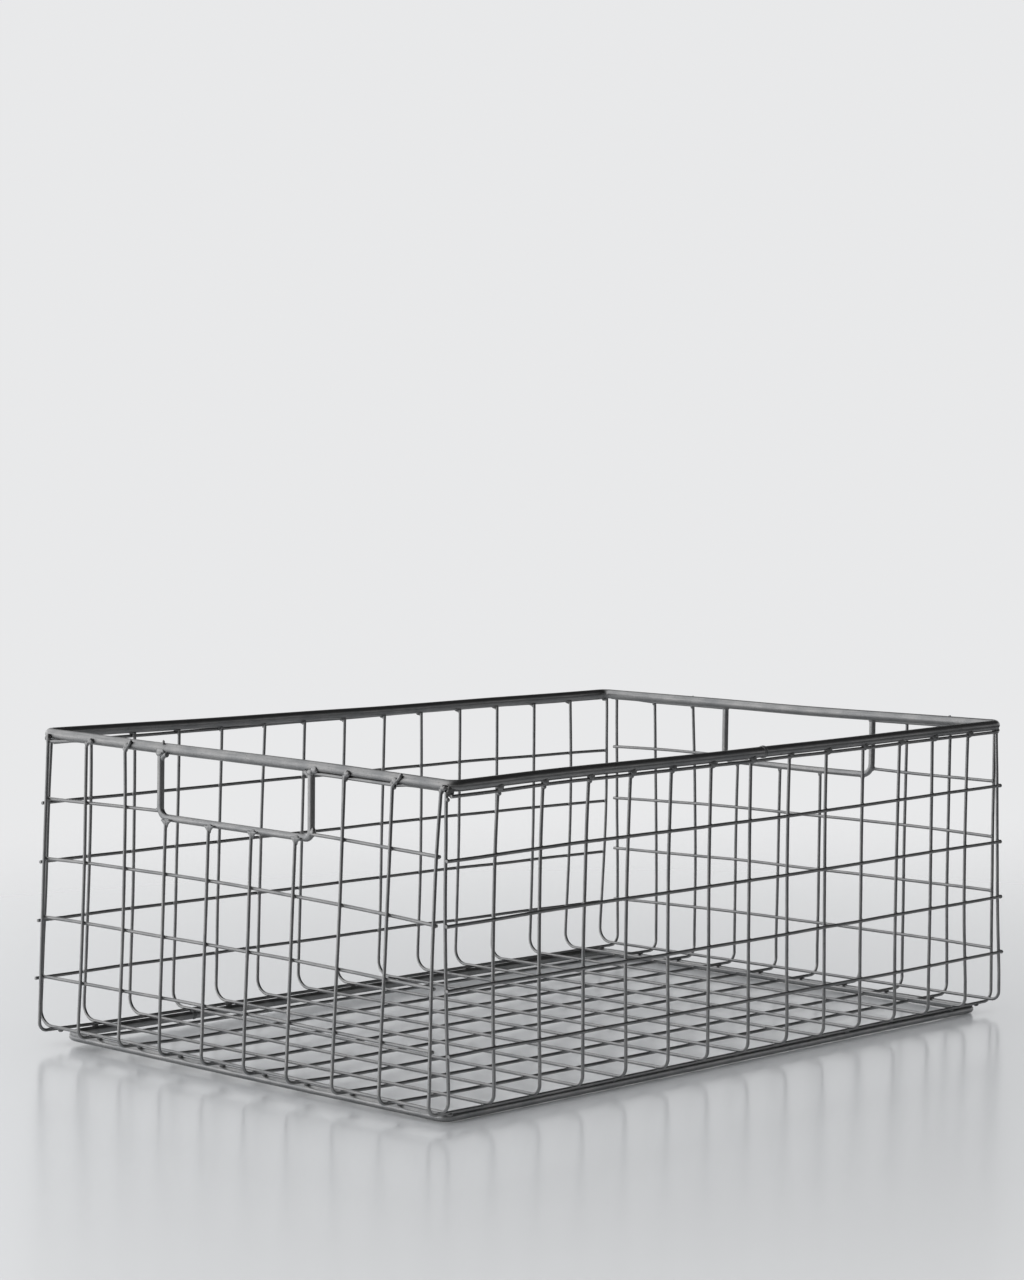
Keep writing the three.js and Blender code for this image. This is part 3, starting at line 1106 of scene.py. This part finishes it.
def dark_iron(name, tone, roughness, scorch):
    material = bpy.data.materials.new(name)
    start = empty_tree(material)
    place = start.node("ShaderNodeTexCoord", out="Object")
    grain = start.node("ShaderNodeAttribute", {"attribute_name": "grain"}, out="Vector")
    heat = start.node("ShaderNodeAttribute", {"attribute_name": "heat"}, out="Fac")
    clouds = place.noise(*CLOUDS)
    tooth = place.noise(*TOOTH)
    streaks = grain.stretched(ALONG_GRAIN).noise(*STREAKS)
    wear = (clouds * 0.55 + streaks * 0.45).spread(0.32, 0.68)
    bare = wear.mix_colour(grey(tone * 0.82, -0.02), grey(tone * 1.17, 0.01))
    speckled = tooth.spread(0.56, 0.74).mix_colour(bare, grey(tone * 0.5))
    scorched = (heat * scorch * (clouds + 0.35)).mix_colour(speckled, grey(tone * 0.42, 0.08))
    shine = roughness + (tooth - 0.5) * 0.16 - (wear - 0.5) * 0.1 + heat * scorch * 0.07
    height = streaks * 0.5 + tooth * 0.5
    bump = start.node("ShaderNodeBump", None, {
        "Strength": BUMP_STRENGTH, "Distance": TOOTH_DEPTH, "Height": height}, "Normal")
    shader = start.node("ShaderNodeBsdfPrincipled", None, {
        "Base Color": scorched, "Metallic": 1.0, "Roughness": shine, "Normal": bump})
    start.node("ShaderNodeOutputMaterial", None, {"Surface": shader})
    return material


# %% [markdown]
# The four kinds of rod are the same iron, each with its own darkness, roughness and share of
# scorch. The beads on the long sides of the rim, those on the base ring and the two collars get a
# darker, rougher iron. On the rim's long sides that darkness is painted shade; on the collars it is
# soot.

# %% Finishes
finishes = {
    "mesh_wire": dark_iron("mesh_wire_iron", 0.225, 0.34, 0.6),
    "handle_rod": dark_iron("handle_rod_iron", 0.25, 0.36, 0.3),
    "rim_rod": dark_iron("rim_rod_iron", 0.225, 0.38, 0.3),
    "base_rod": dark_iron("base_rod_iron", 0.25, 0.34, 0.25),
}
# These pieces get a darker iron: on the rim's long-side beads it is painted shade, on the collars
# soot.
SOOT_AND_SHADE = ("near_rim_beads", "far_rim_beads", "rim_butt_weld", "base_beads", "base_butt_weld")
soot_and_shade = dark_iron("soot_and_shade_bead_iron", 0.18, 0.48, 1.1)
for piece in made_pieces:
    piece.data.materials.append(soot_and_shade if piece.name in SOOT_AND_SHADE else finishes[piece["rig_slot"]])
print(len(finishes) + 1, "finishes")

# %% [markdown]
# The crate stands on a plain pale floor that fades into the background, so that no edge shows from
# any side. It is round: near the crate it takes light and shadow, and further out it turns clear.
# A smooth coat lets it mirror the crate faintly.

# %% Floor
FLOOR_R = 2.0
FLOOR_COLOUR = (0.70, 0.715, 0.73, 1.0)
FLOOR_ROUGHNESS = 0.28
COAT_ROUGHNESS = 0.2
FADE_FROM = 0.22
FADE_TO = 1.0
FADE_SHAPE = (0.9, 1.1, 1.0)
ground_bm = bmesh.new()
bmesh.ops.create_circle(ground_bm, cap_ends=True, segments=96, radius=FLOOR_R)
floor_mesh = bpy.data.meshes.new("floor")
ground_bm.to_mesh(floor_mesh)
ground_bm.free()
floor = bpy.data.objects.new("floor", floor_mesh)
bpy.context.scene.collection.objects.link(floor)

floor_finish = bpy.data.materials.new("pale_floor")
start = empty_tree(floor_finish)
footprint = start.node("ShaderNodeTexCoord", out="Object").stretched(FADE_SHAPE)
far = start.node("ShaderNodeVectorMath", {"operation": "LENGTH"}, {0: footprint}, "Value")
stone = start.node("ShaderNodeBsdfPrincipled", None, {
    "Base Color": FLOOR_COLOUR, "Roughness": FLOOR_ROUGHNESS,
    "Coat Weight": 1.0, "Coat Roughness": COAT_ROUGHNESS})
clear = start.node("ShaderNodeBsdfTransparent")
faded = start.node("ShaderNodeMixShader", None, {
    0: far.spread(FADE_FROM, FADE_TO), 1: stone, 2: clear})
start.node("ShaderNodeOutputMaterial", None, {"Surface": faded})
floor_mesh.materials.append(floor_finish)
print("floor fades out between", FADE_FROM, "and", FADE_TO, "m from the middle")

# %% [markdown]
# The room. The camera sees an even pale background. The iron mirrors a room that is bright on the
# far left, where a big window would be, and dim on the near right, so the end wall shines and the
# long wall stays dark. A low pale band runs all round, lightest at the back, because that is what
# the floor mirrors at a flat angle.

# %% Room
PALE = 0.81
PALE_COLOUR = (1.0, 1.005, 1.015, 1.0)
SKY_LIGHT = 0.76
WINDOW_LIGHT = 1.5
BAND_LIGHT = 0.4
BACK_LIGHT = 0.45
DIM_LIGHT = 0.02
WINDOW_EDGE = (0.2, 0.7)
BACK_EDGE = (-0.6, 0.9)
BAND_FOOT = (-0.02, 0.03)
BAND_TOP = (0.16, 0.34)
BRIGHT_SIDE = Vector((-0.58, 0.76, 0.3)).normalized()
BACK_WALL = Vector((0.74, 0.67, 0.05)).normalized()
world = bpy.data.worlds.new("pale_room")
bpy.context.scene.world = world
start = empty_tree(world)
seen = start.node("ShaderNodeLightPath", out="Is Camera Ray")
mirrored = start.node("ShaderNodeLightPath", out="Is Glossy Ray")
let_through = start.node("ShaderNodeLightPath", out="Is Transmission Ray")
direction = start.node("ShaderNodeTexCoord", out="Generated")
window = direction.dot(BRIGHT_SIDE).spread(*WINDOW_EDGE)
behind = direction.dot(BACK_WALL).spread(*BACK_EDGE)
up = start.node("ShaderNodeSeparateXYZ", None, {0: direction}, "Z")
band = up.spread(*BAND_FOOT) * (1 - up.spread(*BAND_TOP))
room = window * WINDOW_LIGHT + band * (behind * BACK_LIGHT + BAND_LIGHT) + DIM_LIGHT
matt = 1 - seen - mirrored - let_through
strength = seen * PALE + (mirrored + let_through) * room + matt * SKY_LIGHT
backdrop = start.node("ShaderNodeBackground", None, {"Color": PALE_COLOUR, "Strength": strength})
start.node("ShaderNodeOutputWorld", None, {"Surface": backdrop})
print("background at", PALE, "of white")

# %% [markdown]
# One large soft lamp on the left gives the shadow on the floor. The room already has the window
# that the iron mirrors, so the lamp itself is hidden from the camera and from reflections.

# %% Lamp
LAMP_WIDTH = 0.8
LAMP_HEIGHT = 0.7
LAMP_POWER = 5.0
LAMP_PLACE = Vector((-1.05, 0.2, 0.42))
LAMP_AIM = Vector((0, 0, 0.08))
lamp = bpy.data.lights.new("window_lamp", "AREA")
lamp.shape = "RECTANGLE"
lamp.size = LAMP_WIDTH
lamp.size_y = LAMP_HEIGHT
lamp.energy = LAMP_POWER
window_lamp = bpy.data.objects.new("window_lamp", lamp)
bpy.context.scene.collection.objects.link(window_lamp)
facing = (LAMP_PLACE - LAMP_AIM).to_track_quat("Z", "Y")
window_lamp.matrix_world = Matrix.LocRotScale(LAMP_PLACE, facing, Vector((1, 1, 1)))
window_lamp.visible_camera = False
window_lamp.visible_glossy = False
bpy.context.scene.view_settings.view_transform = "Standard"
print("lamp of", LAMP_POWER, "W on the left")
